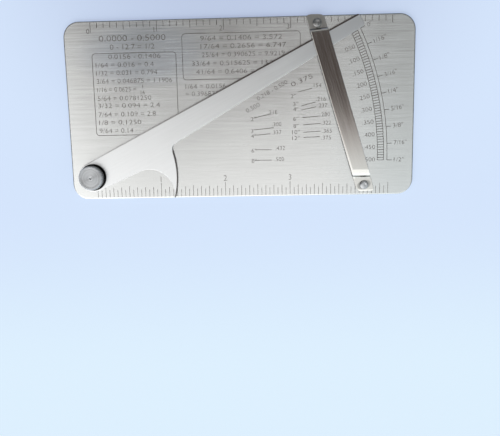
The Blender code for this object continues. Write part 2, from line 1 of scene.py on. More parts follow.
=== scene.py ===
"""Looks of the pit gauge: brushed and polished steel, engraved numbers, floor, light and camera.

The frame holds every solid. This script gives the solids their finishes and adds the
numbers that are engraved on the plate. Lengths are in millimetres. Places of numbers are
measured from the plate's lower left corner, with X along the plate and Y across it.
"""

import json
import math

import bmesh
import bpy
from mathutils import Matrix, Vector


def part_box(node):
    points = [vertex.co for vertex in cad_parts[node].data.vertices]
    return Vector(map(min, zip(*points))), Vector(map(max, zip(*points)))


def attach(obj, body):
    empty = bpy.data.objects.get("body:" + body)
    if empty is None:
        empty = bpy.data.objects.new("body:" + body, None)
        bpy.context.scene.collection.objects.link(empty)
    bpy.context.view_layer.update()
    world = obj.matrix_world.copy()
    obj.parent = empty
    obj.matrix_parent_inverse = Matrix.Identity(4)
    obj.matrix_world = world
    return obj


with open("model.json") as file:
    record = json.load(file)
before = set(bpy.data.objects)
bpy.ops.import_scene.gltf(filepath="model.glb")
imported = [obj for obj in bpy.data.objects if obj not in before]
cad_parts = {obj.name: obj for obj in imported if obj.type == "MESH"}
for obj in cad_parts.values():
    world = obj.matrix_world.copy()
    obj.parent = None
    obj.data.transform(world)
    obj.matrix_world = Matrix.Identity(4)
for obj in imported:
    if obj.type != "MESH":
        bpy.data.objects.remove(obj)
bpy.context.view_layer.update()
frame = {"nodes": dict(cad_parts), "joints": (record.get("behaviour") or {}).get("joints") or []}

MM = 0.001
INCH = 25.4

PLATE_LOW, PLATE_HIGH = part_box("base_plate")
PLATE_LENGTH = (PLATE_HIGH.x - PLATE_LOW.x) / MM
PLATE_WIDTH = (PLATE_HIGH.y - PLATE_LOW.y) / MM
PLATE_TOP = PLATE_HIGH.z / MM
PLATE_CORNER = 6.0

JOINTS = {joint["name"]: joint for joint in frame["joints"]}
PIVOT = Vector(JOINTS["knob_turn"]["pos_m"])

# Camera, from the plate's outline in the photograph
CAMERA_PLACE = Vector((11.53, -2.13, 240.6)) * MM
CAMERA_TURN = tuple(math.radians(angle) for angle in (-9.645, 1.806, -1.209))
CAMERA_LENS = 44.04
SENSOR_WIDTH = 36.0

# Colours of the steel, and of the painted shade, shadows and reflection on it
PLATE_COLOUR = (0.67, 0.68, 0.67)
# painted shade on the plate's rim, left off along its lower edge
RIM_SHADE_COLOUR = (0.20, 0.21, 0.22)
BLADE_COLOUR = (0.76, 0.77, 0.77)
TARNISH_COLOUR = (0.44, 0.45, 0.47)
STRAP_COLOUR = (0.50, 0.49, 0.465)
RIVET_COLOUR = (0.46, 0.47, 0.48)
# the upper rivet, painted darker as shade
SHADED_RIVET_COLOUR = (0.28, 0.28, 0.275)
KNOB_COLOUR = (0.44, 0.45, 0.46)
KNURL_COLOUR = (0.36, 0.365, 0.37)
WASHER_COLOUR = (0.16, 0.16, 0.165)
CUT_EDGE_COLOUR = (0.30, 0.30, 0.30)
# painted shadow lines along the blade's upper edge and the claw's back
EDGE_SHADOW_COLOUR = (0.10, 0.085, 0.08)
# painted shade on the strap's steep sides and underside
SIDE_SHADE_COLOUR = (0.03, 0.027, 0.025)
# painted shadow round the knob on the blade
KNOB_SHADOW_COLOUR = (0.015, 0.015, 0.015)
ETCH_COLOUR = (0.10, 0.085, 0.075)
WORN_ETCH_COLOUR = (0.36, 0.35, 0.33)
# tint of a painted dark cool reflection on the plate
COOL_REFLECTION_TINT = (0.80, 0.83, 0.88)

# Roughness of each steel, and how far its highlights are drawn out across the grain
PLATE_GLOSS = (0.24, 0.88)
BLADE_GLOSS = (0.35, 0.55)
STRAP_GLOSS = (0.16, 0.3)
KNOB_ROUGHNESS = 0.36
WASHER_ROUGHNESS = 0.35
RIVET_ROUGHNESS = 0.34
TURNED_STRETCH = 0.9
BLADE_GRAIN_ANGLE = math.radians(27)
STRAP_GRAIN_ANGLE = math.radians(-73)

# Heights of the marks that tools leave
HAIR_HEIGHT = 0.0008
STRAP_HAIR_HEIGHT = 0.0005
KNOB_RING_HEIGHT = 0.006
WASHER_RING_HEIGHT = 0.003
RIVET_RING_HEIGHT = 0.002

# Plate: its engraving, its rim and two patches. A patch is a middle and its half sizes,
# and a pair of places is where a change starts and ends, both from the plate's middle.
NUMBER_PROUD = 0.02
ETCH_BELOW_TOP = 0.03
ETCH_FROM_EDGE = 0.52
WORN_ETCH = (10 - PLATE_WIDTH / 2, 4 - PLATE_WIDTH / 2)
RIM_WIDTH = 0.42
# where the rim's painted shade fades out towards the lower edge
BRIGHT_RIM = (1 - PLATE_WIDTH / 2, 6 - PLATE_WIDTH / 2)
FAINT_CORNER = ((18.5, 14.75), (6.5, 4.25))
# patch of the plate's painted dark cool reflection
COOL_REFLECTION_PATCH = ((-36, 22), (25, 12))

# Blade: where a change starts and ends, along it, aside of it or out from the pivot
TARNISH_ALONG = (80, 118)
# where the blade has painted shadow lines along its upper edge and the claw's back
UPPER_EDGE_ASIDE = (5.2, 5.5)
UPPER_EDGE_ALONG = (5, 70)
CLAW_EDGE_RADIUS = (32.9, 33.15)
CLAW_EDGE_ASIDE = (-5.0, -6.5)
# where the painted shadow ring round the knob lies on the blade
KNOB_SHADOW_RADIUS = (5.35, 5.15)
BLADE_WALL = (0.95, 0.6)

# Strap: the same, from its lower rivet along it, aside of it or up the plate
# the strap's head, which is rougher and painted darker as shade
STRAP_HEAD_ALONG = -10.0
STRAP_TAB_HEIGHT = (PLATE_TOP + 1.4, PLATE_TOP + 1.1)
# where the strap has painted highlights: its left edge, the crest at its foot and its rim
LEFT_EDGE_ASIDE = (-2.3, -2.8)
LEFT_EDGE_UP = (2.0, 3.0)
CREST_TOP = (6.3, 5.8)
CREST_FOOT = (3.3, 3.6)
STRAP_RIM = (-1.85, -2.15)
# patch of painted shade on the tab round the lower rivet
RIVET_SHADE_PATCH = ((0, 0), (1.8, 2.8))
# slopes over which the strap's sides and underside take painted shade
STRAP_STEEP = (0.62, 0.44)

# Knob: its knurl is outside this radius and this far below its top
KNURL_RADIUS = 4.6
KNURL_BELOW_TOP = 0.39

# Sky, as slopes from straight up. A patch is a middle and its half sizes.
OVERHEAD_PATCH = ((0.0, 0.08), (0.34, 0.125))
LOW_BAND = ((0.0, -0.14), (0.5, 0.07))
BACK_PATCH = ((-0.17, 0.40), (0.29, 0.29))
LEFT_PATCH = ((-0.2, 0.09), (0.17, 0.2))
NEAR_PATCH = ((-0.1, -1.1), (1.1, 0.55))
SKY_SLOPES = (0.35, -0.4)
SKY_STRENGTHS = (0.7, 1.7)
CORNER_LIGHT = 0.7
LOW_BAND_LIGHT = 0.5
NEAR_LIGHT = 0.4
OVERHEAD_DIM = 0.91
BACK_DIM = 0.92
LEFT_DIM = 0.38
RIGHT_DIM = 0.24
SIDES_DIM = 0.65
HORIZON_DIM = 0.8
BACK_TINT = (0.85, 0.96, 1.0)
RIGHT_TINT = (0.92, 0.98, 1.0)
OVERHEAD_TINT = (1.0, 0.76, 0.70)
BACKDROP_COLOUR = (0.68, 0.80, 0.98)

# Floor: its own glow and colours, and where they change
FLOOR_COLOUR = (0.70, 0.84, 1.08)
FLOOR_FAR_COLOUR = (0.46, 0.54, 0.77)
FLOOR_NEAR_COLOUR = (0.80, 0.98, 1.11)
FLOOR_ALBEDO = (0.70, 0.78, 0.90)
FLOOR_GLOW = 0.62
FLOOR_HALF_SIZE = 2000
FLOOR_DROP = 0.2
FLOOR_FAR_MIDDLE = (0, 75, 0)
FLOOR_FAR_REACH = (25, 120)
FLOOR_NEAR_EDGE = (-35, -110)


def plate_point(x, y, z=0.0):
    """A point in metres, from millimetres on the plate."""
    return Vector((PLATE_LOW.x + x * MM, PLATE_LOW.y + y * MM, z * MM))


# Node helpers


def add_node(tree, kind, **settings):
    node = tree.nodes.new(kind)
    for name, value in settings.items():
        setattr(node, name, value)
    return node


def feed(tree, socket, value):
    """Link a socket to another, or set its value."""
    if isinstance(value, bpy.types.NodeSocket):
        tree.links.new(value, socket)
    else:
        socket.default_value = value


def math_node(tree, operation, first, second=None, third=None):
    node = add_node(tree, "ShaderNodeMath", operation=operation)
    for socket, value in zip(node.inputs, (first, second, third)):
        if value is not None:
            feed(tree, socket, value)
    return node.outputs[0]


def vector_node(tree, operation, first, second=None, output=0):
    node = add_node(tree, "ShaderNodeVectorMath", operation=operation)
    feed(tree, node.inputs[0], first)
    if second is not None:
        feed(tree, node.inputs[1], second)
    return node.outputs[output]


def product(tree, *masks):
    """Masks multiplied together."""
    result = masks[0]
    for mask in masks[1:]:
        result = math_node(tree, "MULTIPLY", result, mask)
    return result


def remap(tree, value, low, high, to_low=0.0, to_high=1.0, smooth=False):
    """A value that runs from one pair of numbers to another, and stays within the second."""
    node = add_node(tree, "ShaderNodeMapRange", clamp=True)
    node.interpolation_type = "SMOOTHSTEP" if smooth else "LINEAR"
    for socket, number in zip(node.inputs, (value, low, high, to_low, to_high)):
        feed(tree, socket, number)
    return node.outputs[0]


def split(tree, vector):
    """The X, Y and Z of a vector."""
    node = add_node(tree, "ShaderNodeSeparateXYZ")
    feed(tree, node.inputs[0], vector)
    return node.outputs


def mix_colour(tree, share, first, second, blend="MIX"):
    node = add_node(tree, "ShaderNodeMix", data_type="RGBA", blend_type=blend)
    feed(tree, node.inputs[0], share)
    for socket, colour in ((node.inputs[6], first), (node.inputs[7], second)):
        feed(tree, socket, colour if isinstance(colour, bpy.types.NodeSocket) else (*colour, 1.0))
    return node.outputs[2]


def shaded(tree, colour, shade):
    """A colour made brighter or darker."""
    node = add_node(tree, "ShaderNodeVectorMath", operation="SCALE")
    feed(tree, node.inputs[0], colour)
    feed(tree, node.inputs["Scale"], shade)
    return node.outputs[0]


def noise(tree, vector, scale, detail=2.0, roughness=0.5):
    node = add_node(tree, "ShaderNodeTexNoise")
    feed(tree, node.inputs["Vector"], vector)
    node.inputs["Scale"].default_value = scale
    node.inputs["Detail"].default_value = detail
    node.inputs["Roughness"].default_value = roughness
    return node.outputs["Fac"]


def centred(tree, mark):
    """The middle of a noise's range, drawn out to run from -0.5 to 0.5."""
    return remap(tree, mark, 0.3, 0.7, -0.5, 0.5)


def stretched(tree, vector, scales):
    """A vector scaled by three numbers."""
    return vector_node(tree, "MULTIPLY", vector, scales)


def distance_out(tree, vector):
    """How far a point is from the Z axis."""
    return vector_node(tree, "LENGTH", stretched(tree, vector, (1, 1, 0)), output=1)


def patch_reach(tree, place, patch):
    """How far a place is from a patch's middle, where one is the patch's edge."""
    centre, size = patch
    offset = vector_node(tree, "SUBTRACT", place, (*centre, 0))
    return vector_node(tree, "LENGTH", stretched(tree, offset, (1 / size[0], 1 / size[1], 0)), output=1)


def millimetres(tree, centre=(0, 0, 0), turn=0.0):
    """Object coordinates in millimetres about a centre in metres, turned about Z."""
    coordinates = add_node(tree, "ShaderNodeTexCoord").outputs["Object"]
    mapping = add_node(tree, "ShaderNodeMapping", vector_type="TEXTURE")
    feed(tree, mapping.inputs["Vector"], coordinates)
    mapping.inputs["Location"].default_value = centre
    mapping.inputs["Rotation"].default_value = (0, 0, turn)
    mapping.inputs["Scale"].default_value = (MM, MM, MM)
    return mapping.outputs["Vector"]


def facing_up(tree):
    """One where a face looks straight up, and nought on a wall."""
    return split(tree, add_node(tree, "ShaderNodeNewGeometry").outputs["True Normal"])["Z"]


def bump(tree, height, distance):
    node = add_node(tree, "ShaderNodeBump")
    node.inputs["Strength"].default_value = 1.0
    node.inputs["Distance"].default_value = distance * MM
    feed(tree, node.inputs["Height"], height)
    return node.outputs["Normal"]


def fixed_direction(tree, direction):
    """A direction fixed to the object, as the shader's tangent needs it."""
    node = add_node(tree, "ShaderNodeVectorTransform", vector_type="VECTOR")
    node.convert_from = "OBJECT"
    node.convert_to = "WORLD"
    feed(tree, node.inputs[0], direction)
    return node.outputs[0]


def new_group(name, inputs, outputs):
    group = bpy.data.node_groups.new(name, "ShaderNodeTree")
    for socket, kind in inputs:
        group.interface.new_socket(name=socket, in_out="INPUT", socket_type=kind)
    for socket, kind in outputs:
        group.interface.new_socket(name=socket, in_out="OUTPUT", socket_type=kind)
    start = group.nodes.new("NodeGroupInput")
    end = group.nodes.new("NodeGroupOutput")
    return group, start, end


def place_group(tree, group, values):
    node = add_node(tree, "ShaderNodeGroup", node_tree=group)
    for name, value in values.items():
        feed(tree, node.inputs[name], value)
    return node


# Marks that tools leave


def brushed_grain_group():
    """Marks of brushing along X, from millimetres: hair lines, streaks and broad smears."""
    group, start, end = new_group(
        "brushed_grain", [("Vector", "NodeSocketVector")],
        [("Hairs", "NodeSocketFloat"), ("Streaks", "NodeSocketFloat"), ("Smears", "NodeSocketFloat")],
    )
    vector = start.outputs["Vector"]
    hairs = noise(group, stretched(group, vector, (0.12, 9.0, 1.0)), 1.0, 3.0, 0.65)
    streaks = noise(group, stretched(group, vector, (0.045, 1.9, 1.0)), 1.0, 3.0, 0.6)
    smears = noise(group, stretched(group, vector, (0.035, 0.02, 0.02)), 1.0, 2.0, 0.5)
    for name, value in (("Hairs", hairs), ("Streaks", streaks), ("Smears", smears)):
        group.links.new(value, end.inputs[name])
    return group


def turned_rings_group():
    """Rings of turning about Z, from millimetres, and the radius they are at."""
    group, start, end = new_group(
        "turned_rings", [("Vector", "NodeSocketVector")],
        [("Rings", "NodeSocketFloat"), ("Radius", "NodeSocketFloat")],
    )
    radius = distance_out(group, start.outputs["Vector"])
    along = add_node(group, "ShaderNodeCombineXYZ")
    feed(group, along.inputs["X"], radius)
    rings = noise(group, along.outputs[0], 1.9, 3.0, 0.7)
    group.links.new(rings, end.inputs["Rings"])
    group.links.new(radius, end.inputs["Radius"])
    return group


def grain_marks(tree, grain, vector):
    """Hair lines, streaks and smears, each from -0.5 to 0.5."""
    marks = place_group(tree, grain, {"Vector": vector}).outputs
    return [centred(tree, marks[name]) for name in ("Hairs", "Streaks", "Smears")]


# Finishes


def new_steel(name, stretch):
    """Bare metal, whose highlights are drawn out along its tangent."""
    material = bpy.data.materials.new(name)
    material.use_nodes = True
    tree = material.node_tree
    shader = tree.nodes["Principled BSDF"]
    shader.inputs["Metallic"].default_value = 1.0
    shader.inputs["Anisotropic"].default_value = stretch
    return material, tree, shader


def across_grain(tree, angle):
    """The direction square to a grain, for the tangent."""
    return fixed_direction(tree, (-math.sin(angle), math.cos(angle), 0))


def outline_depth(tree, vector):
    """How far inside the plate's round cornered outline a point is."""
    half = (PLATE_LENGTH / 2 - PLATE_CORNER, PLATE_WIDTH / 2 - PLATE_CORNER, 0)
    flat = vector_node(tree, "ABSOLUTE", stretched(tree, vector, (1, 1, 0)))
    beyond = vector_node(tree, "SUBTRACT", flat, half)
    outside = vector_node(tree, "LENGTH", vector_node(tree, "MAXIMUM", beyond, (0, 0, 0)), output=1)
    parts = split(tree, beyond)
    inside = math_node(tree, "MINIMUM", math_node(tree, "MAXIMUM", parts["X"], parts["Y"]), 0.0)
    return math_node(tree, "SUBTRACT", PLATE_CORNER, math_node(tree, "ADD", outside, inside))


def outside_box(tree, vector, patch):
    """One outside a patch with straight sides, and nought inside it."""
    centre, size = patch
    offset = vector_node(tree, "SUBTRACT", vector, (*centre, 0))
    parts = split(tree, vector_node(tree, "ABSOLUTE", offset))
    beyond_x = math_node(tree, "GREATER_THAN", parts["X"], size[0])
    beyond_y = math_node(tree, "GREATER_THAN", parts["Y"], size[1])
    return math_node(tree, "MAXIMUM", beyond_x, beyond_y)


def brushed_steel(name, colour, grain, gloss, turn=0.0, contrast=1.0):
    """Satin steel, brushed along a direction. Returns what a caller needs to add to it."""
    roughness, stretch = gloss
    material, tree, shader = new_steel(name, stretch)
    vector = millimetres(tree, turn=turn)
    hairs, streaks, smears = grain_marks(tree, grain, vector)
    shade = math_node(tree, "MULTIPLY_ADD", hairs, 0.10 * contrast, 1.0)
    shade = math_node(tree, "MULTIPLY_ADD", streaks, 0.07 * contrast, shade)
    shade = math_node(tree, "MULTIPLY_ADD", smears, 0.05 * contrast, shade)
    rough = math_node(tree, "MULTIPLY_ADD", streaks, 0.05, roughness)
    rough = math_node(tree, "MULTIPLY_ADD", smears, 0.04, rough)
    feed(tree, shader.inputs["Normal"], bump(tree, hairs, HAIR_HEIGHT))
    feed(tree, shader.inputs["Tangent"], across_grain(tree, turn))
    return material, tree, shader, vector, shaded(tree, colour, shade), rough


def etch_colour(tree, vector):
    """The engraving's colour, which wears paler towards the plate's lower edge."""
    wear_and_painted_highlights = remap(tree, split(tree, vector)["Y"], *WORN_ETCH)
    return mix_colour(tree, wear_and_painted_highlights, ETCH_COLOUR, WORN_ETCH_COLOUR)


def plate_finish(grain):
    """Brushed along the plate, with a painted dark cool reflection on its left. It is dark where the
    engraving is cut, save at one faint corner, and its rim is painted dark as shade, save along the lower
    edge."""
    material, tree, shader, vector, tone, rough = brushed_steel(
        "brushed_plate_steel", PLATE_COLOUR, grain, PLATE_GLOSS)
    place = split(tree, vector)
    depth = outline_depth(tree, vector)
    etched = product(
        tree,
        math_node(tree, "LESS_THAN", place["Z"], PLATE_TOP - ETCH_BELOW_TOP),
        math_node(tree, "GREATER_THAN", place["Z"], PLATE_TOP * 0.8),
        math_node(tree, "GREATER_THAN", depth, ETCH_FROM_EDGE),
        outside_box(tree, vector, FAINT_CORNER),
    )
    # a painted dark cool reflection on the plate's left
    cool_reflection = remap(tree, patch_reach(tree, vector, COOL_REFLECTION_PATCH), 1.3, 0.5, smooth=True)
    tone = mix_colour(tree, cool_reflection, tone, COOL_REFLECTION_TINT, "MULTIPLY")
    rim = remap(tree, depth, RIM_WIDTH, RIM_WIDTH * 0.7, smooth=True)
    # the rim is painted dark as shade, save along the lower edge
    painted_rim_shade = product(tree, rim, remap(tree, place["Y"], *BRIGHT_RIM))
    surface = mix_colour(tree, painted_rim_shade, tone, RIM_SHADE_COLOUR)
    feed(tree, shader.inputs["Base Color"], mix_colour(tree, etched, surface, etch_colour(tree, vector)))
    feed(tree, shader.inputs["Roughness"], math_node(tree, "MULTIPLY_ADD", etched, 0.4, rough))
    feed(tree, shader.inputs["Metallic"], math_node(tree, "SUBTRACT", 1.0, etched))
    return material


def blade_finish(grain):
    """Finely brushed along the blade and tarnished towards its point, with cut walls, painted shadow
    lines along its upper side and the claw's back, and a painted shadow ring round the knob."""
    material, tree, shader, _, tone, rough = brushed_steel(
        "brushed_blade_steel", BLADE_COLOUR, grain, BLADE_GLOSS, BLADE_GRAIN_ANGLE, 0.5)
    vector = millimetres(tree, PIVOT, BLADE_GRAIN_ANGLE)
    place = split(tree, vector)
    along, aside = place["X"], place["Y"]
    radius = distance_out(tree, vector)
    tarnish = remap(tree, along, *TARNISH_ALONG, 0.0, 0.6, smooth=True)
    tone = mix_colour(tree, tarnish, tone, TARNISH_COLOUR)
    # painted shadow lines along the upper edge and the claw's back
    upper = product(tree, remap(tree, aside, *UPPER_EDGE_ASIDE, smooth=True),
                    remap(tree, along, *UPPER_EDGE_ALONG, 0.2, 1.0))
    claw = product(tree, remap(tree, radius, *CLAW_EDGE_RADIUS, smooth=True),
                   remap(tree, aside, *CLAW_EDGE_ASIDE, smooth=True))
    wall = remap(tree, facing_up(tree), *BLADE_WALL)
    tone = mix_colour(tree, wall, tone, CUT_EDGE_COLOUR)
    tone = mix_colour(tree, math_node(tree, "MAXIMUM", upper, claw), tone, EDGE_SHADOW_COLOUR)
    # a painted shadow ring on the blade round the knob
    knob_shadow = remap(tree, radius, *KNOB_SHADOW_RADIUS, smooth=True)
    feed(tree, shader.inputs["Base Color"], mix_colour(tree, knob_shadow, tone, KNOB_SHADOW_COLOUR))
    feed(tree, shader.inputs["Roughness"], rough)
    return material


def strap_finish(grain):
    """Polished spring steel with faint lengthwise scratches. Its left edge, the crest at its foot
    and its rim have painted highlights, its head is rougher and painted darker as shade, the tab round its
    lower rivet has painted shade, and its steep sides and underside have painted shade."""
    roughness, stretch = STRAP_GLOSS
    material, tree, shader = new_steel("polished_strap_steel", stretch)
    low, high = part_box("lower_rivet")
    rivet = ((low.x + high.x) / 2, (low.y + high.y) / 2, 0)
    vector = millimetres(tree, rivet, STRAP_GRAIN_ANGLE)
    hairs, streaks, _ = grain_marks(tree, grain, vector)
    place = split(tree, vector)
    up = split(tree, millimetres(tree, rivet))["Y"]
    head = product(tree, remap(tree, place["Z"], *STRAP_TAB_HEIGHT),
                   math_node(tree, "LESS_THAN", place["X"], STRAP_HEAD_ALONG))
    left = product(tree, remap(tree, place["Y"], *LEFT_EDGE_ASIDE, smooth=True),
                   remap(tree, up, *LEFT_EDGE_UP))
    crest = product(tree, remap(tree, up, *CREST_TOP), remap(tree, up, *CREST_FOOT))
    # painted highlights on the left edge, the crest and the rim
    wear_and_painted_highlights = math_node(tree, "MAXIMUM", left, crest)
    wear_and_painted_highlights = math_node(tree, "MAXIMUM", wear_and_painted_highlights, remap(tree, up, *STRAP_RIM))
    # painted shade on the tab round the lower rivet
    rivet_shade = remap(tree, patch_reach(tree, vector, RIVET_SHADE_PATCH), 1.1, 0.8, smooth=True)
    shade = math_node(tree, "MULTIPLY_ADD", hairs, 0.08, 1.0)
    shade = math_node(tree, "MULTIPLY_ADD", streaks, 0.08, shade)
    shade = math_node(tree, "MULTIPLY_ADD", wear_and_painted_highlights, 0.55, shade)
    # the head is painted darker as shade
    shade = math_node(tree, "MULTIPLY_ADD", head, -0.3, shade)
    shade = math_node(tree, "MULTIPLY_ADD", rivet_shade, -0.45, shade)
    # painted shade on the steep sides and underside
    steep_shade = remap(tree, facing_up(tree), *STRAP_STEEP, smooth=True)
    tone = mix_colour(tree, steep_shade, shaded(tree, STRAP_COLOUR, shade), SIDE_SHADE_COLOUR)
    feed(tree, shader.inputs["Base Color"], tone)
    rough = math_node(tree, "MULTIPLY_ADD", streaks, 0.06, roughness)
    feed(tree, shader.inputs["Roughness"], math_node(tree, "MULTIPLY_ADD", head, 0.2, rough))
    feed(tree, shader.inputs["Normal"], bump(tree, hairs, STRAP_HAIR_HEIGHT))
    feed(tree, shader.inputs["Tangent"], across_grain(tree, STRAP_GRAIN_ANGLE))
    return material


def turned_finish(name, rings, colour, roughness, centre, ring_height, knurl=None):
    """Bright steel with the rings of a lathe about a vertical axis. A knurl is a radius and a
    height, outside and below which the steel has the knurl's colour."""
    material, tree, shader = new_steel(name, TURNED_STRETCH)
    vector = millimetres(tree, centre=centre)
    marks = place_group(tree, rings, {"Vector": vector}).outputs
    ring = centred(tree, marks["Rings"])
    tone = shaded(tree, colour, math_node(tree, "MULTIPLY_ADD", ring, 0.7, 1.0))
    if knurl:
        outside = math_node(tree, "GREATER_THAN", marks["Radius"], knurl[0])
        below = math_node(tree, "LESS_THAN", split(tree, vector)["Z"], knurl[1])
        tone = mix_colour(tree, product(tree, outside, below), tone, KNURL_COLOUR)
    feed(tree, shader.inputs["Base Color"], tone)
    feed(tree, shader.inputs["Roughness"], math_node(tree, "MULTIPLY_ADD", ring, 0.08, roughness))
    feed(tree, shader.inputs["Normal"], bump(tree, ring, ring_height))
    outward = vector_node(tree, "NORMALIZE", stretched(tree, vector, (1, 1, 0)))
    feed(tree, shader.inputs["Tangent"], fixed_direction(tree, outward))
    return material


def etch_finish():
    """The dull dark floor of an engraved number."""
    material = bpy.data.materials.new("etched_number")
    material.use_nodes = True
    tree = material.node_tree
    shader = tree.nodes["Principled BSDF"]
    vector = millimetres(tree)
    mottle = remap(tree, noise(tree, vector, 2.5), 0.3, 0.7, 0.8, 1.25)
    feed(tree, shader.inputs["Base Color"], shaded(tree, etch_colour(tree, vector), mottle))
    shader.inputs["Roughness"].default_value = 0.7
    return material


def dress(material, *names):
    """Give CAD nodes a material."""
    for name in names:
        mesh = frame["nodes"][name].data
        mesh.materials.clear()
        mesh.materials.append(material)


# Engraved numbers

NUMBER_WEIGHT = -0.012
GLYPH_HALF_THICKNESS = 0.01
WELD_METRES = 1e-7
SHORT_DIGIT = 0.95


class NumberSheet:
    """Collects numbers and makes them one thin mesh on the plate."""

    def __init__(self):
        self.bm = bmesh.new()
        self.digit_height = self.measure("0")

    def outline(self, text, weight):
        curve = bpy.data.curves.new("number", "FONT")
        curve.body = text
        curve.align_x = "CENTER"
        curve.offset = weight
        curve.resolution_u = 3
        curve.extrude = GLYPH_HALF_THICKNESS
        holder = bpy.data.objects.new("number", curve)
        bpy.context.scene.collection.objects.link(holder)
        evaluated = holder.evaluated_get(bpy.context.evaluated_depsgraph_get())
        mesh = bpy.data.meshes.new_from_object(evaluated)
        bpy.data.objects.remove(holder)
        bpy.data.curves.remove(curve)
        return mesh

    def measure(self, text):
        """The height of a text with no weight taken off its strokes."""
        mesh = self.outline(text, 0.0)
        height = max(vert.co.y for vert in mesh.vertices)
        bpy.data.meshes.remove(mesh)
        return height

    def add(self, text, x, y, height, turn=0.0, width=None, align="CENTER"):
        """Write a number with its middle, or its left or right end, at a place on the plate."""
        mesh = self.outline(text, NUMBER_WEIGHT)
        scale = height * MM / self.digit_height
        low = min(vert.co.x for vert in mesh.vertices)
        high = max(vert.co.x for vert in mesh.vertices)
        anchor = {"LEFT": low, "CENTER": (low + high) / 2, "RIGHT": high}[align]
        stretch = width * MM / (scale * (high - low)) if width else 1.0
        thickness = NUMBER_PROUD * MM / (2 * GLYPH_HALF_THICKNESS)
        mesh.transform(Matrix.Translation((-anchor, -self.digit_height / 2, 0)))
        mesh.transform(Matrix.Diagonal((scale * stretch, scale, thickness, 1.0)))
        mesh.transform(Matrix.Translation(plate_point(x, y, PLATE_TOP)) @ Matrix.Rotation(turn, 4, "Z"))
        self.bm.from_mesh(mesh)
        bpy.data.meshes.remove(mesh)

    def finish(self, name, material):
        bmesh.ops.remove_doubles(self.bm, verts=self.bm.verts, dist=WELD_METRES)
        bmesh.ops.recalc_face_normals(self.bm, faces=self.bm.faces)
        mesh = bpy.data.meshes.new(name)
        self.bm.to_mesh(mesh)
        self.bm.free()
        mesh.materials.append(material)
        piece = bpy.data.objects.new(name, mesh)
        bpy.context.scene.collection.objects.link(piece)
        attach(piece, "plate")


def plain_fraction(value):
    """A whole number of sixty-fourths as a fraction in lowest terms."""
    divisor = math.gcd(value, 64)
    return f"{value // divisor}/{64 // divisor}"


# Each rule: the place of its nought along the plate, its numbers' place and their height
LOWER_RULE = (9.75, 7.5, 2.2)
UPPER_RULE = (9.6, PLATE_WIDTH - 3.7, 1.9)


def rule_numbers(material):
    """Inch numbers of the lower and upper rules."""
    sheet = NumberSheet()
    for (nought, y, height), inches in ((LOWER_RULE, (1, 2, 3, 4)), (UPPER_RULE, (0, 1, 2, 3, 4))):
        for inch in inches:
            sheet.add(str(inch), nought + inch * INCH, y, height)
    sheet.finish("rule_numbers", material)


SCALE_CENTRE = Vector((10.95, 15.4))
SCALE_START = math.radians(25.0)
SCALE_END = math.radians(-0.9)
DECIMAL_RADIUS = 108.0
FRACTION_RADIUS = 115.3
DECIMAL_WIDTH = 4.3
SCALE_NUMBER_HEIGHT = 1.6


def scale_place(radius, share):
    """The place and turn of a number at a share of the way down the depth scale."""
    turn = SCALE_START + (SCALE_END - SCALE_START) * share
    return SCALE_CENTRE.x + radius * math.cos(turn), SCALE_CENTRE.y + radius * math.sin(turn), turn


def scale_numbers(material):
    """Hundredths inside the depth scale's ladder, and sixteenths outside it."""
    sheet = NumberSheet()
    for step in range(1, 11):
        x, y, turn = scale_place(DECIMAL_RADIUS, step / 10)
        text = f".{step * 50:03d}"
        sheet.add(text, x, y, SCALE_NUMBER_HEIGHT, turn, width=DECIMAL_WIDTH, align="RIGHT")
    for step in range(9):
        x, y, turn = scale_place(FRACTION_RADIUS, step / 8)
        text = plain_fraction(step * 4) + '"' if step else '0"'
        sheet.add(text, x, y, SCALE_NUMBER_HEIGHT, turn, width=SHORT_DIGIT * len(text), align="LEFT")
    sheet.finish("scale_numbers", material)


# Rows of the wall table: a thickness and its place, then a pipe size and its place
HEAVY_ROWS = (
    (".218", 79.5, 32.6, '2"', 72.0, 30.1), (".300", 81.0, 28.0, '3"', 72.0, 25.5),
    (".337", 81.0, 24.9, '4"', 72.0, 23.6), (".432", 82.3, 18.8, '6"', 72.0, 18.0),
    (".500", 81.9, 14.5, '8"', 72.0, 14.0),
)
STANDARD_ROWS = (
    (".154", 96.4, 42.4, '2"', 87.5, 38.5), (".216", 98.1, 37.2, '3"', 88.4, 35.5),
    (".237", 98.7, 34.8, '4"', 88.4, 33.5), (".280", 99.7, 31.4, '6"', 88.4, 29.9),
    (".322", 100.1, 28.2, '8"', 88.4, 27.2), (".365", 100.4, 25.1, '10"', 88.4, 24.8),
    (".375", 100.1, 22.5, '12"', 88.4, 22.5),
)
TABLE_NUMBER_HEIGHT = 1.5
TABLE_NUMBER_WIDTH = 3.6

# Headings of the wall table: text, place, height, slant in degrees and width
TABLE_HEADINGS = (
    ("0.218 - 0.500", 79.4, 40.9, 1.6, 29, 13.0), ("0.500", 71.9, 34.5, 1.7, 26, 5.6),
    ("0.375", 90.8, 44.4, 1.7, 22, 8.6),
)


def table_numbers(material):
    """Wall thicknesses for pipe sizes, in two columns with slanting headings."""
    sheet = NumberSheet()
    for value, value_x, value_y, size, size_x, size_y in HEAVY_ROWS + STANDARD_ROWS:
        sheet.add(value, value_x, value_y, TABLE_NUMBER_HEIGHT, width=TABLE_NUMBER_WIDTH)
        sheet.add(size, size_x, size_y, TABLE_NUMBER_HEIGHT, width=SHORT_DIGIT * len(size))
    for text, x, y, height, slant, width in TABLE_HEADINGS:
        sheet.add(text, x, y, height, math.radians(slant), width=width)
    sheet.finish("table_numbers", material)


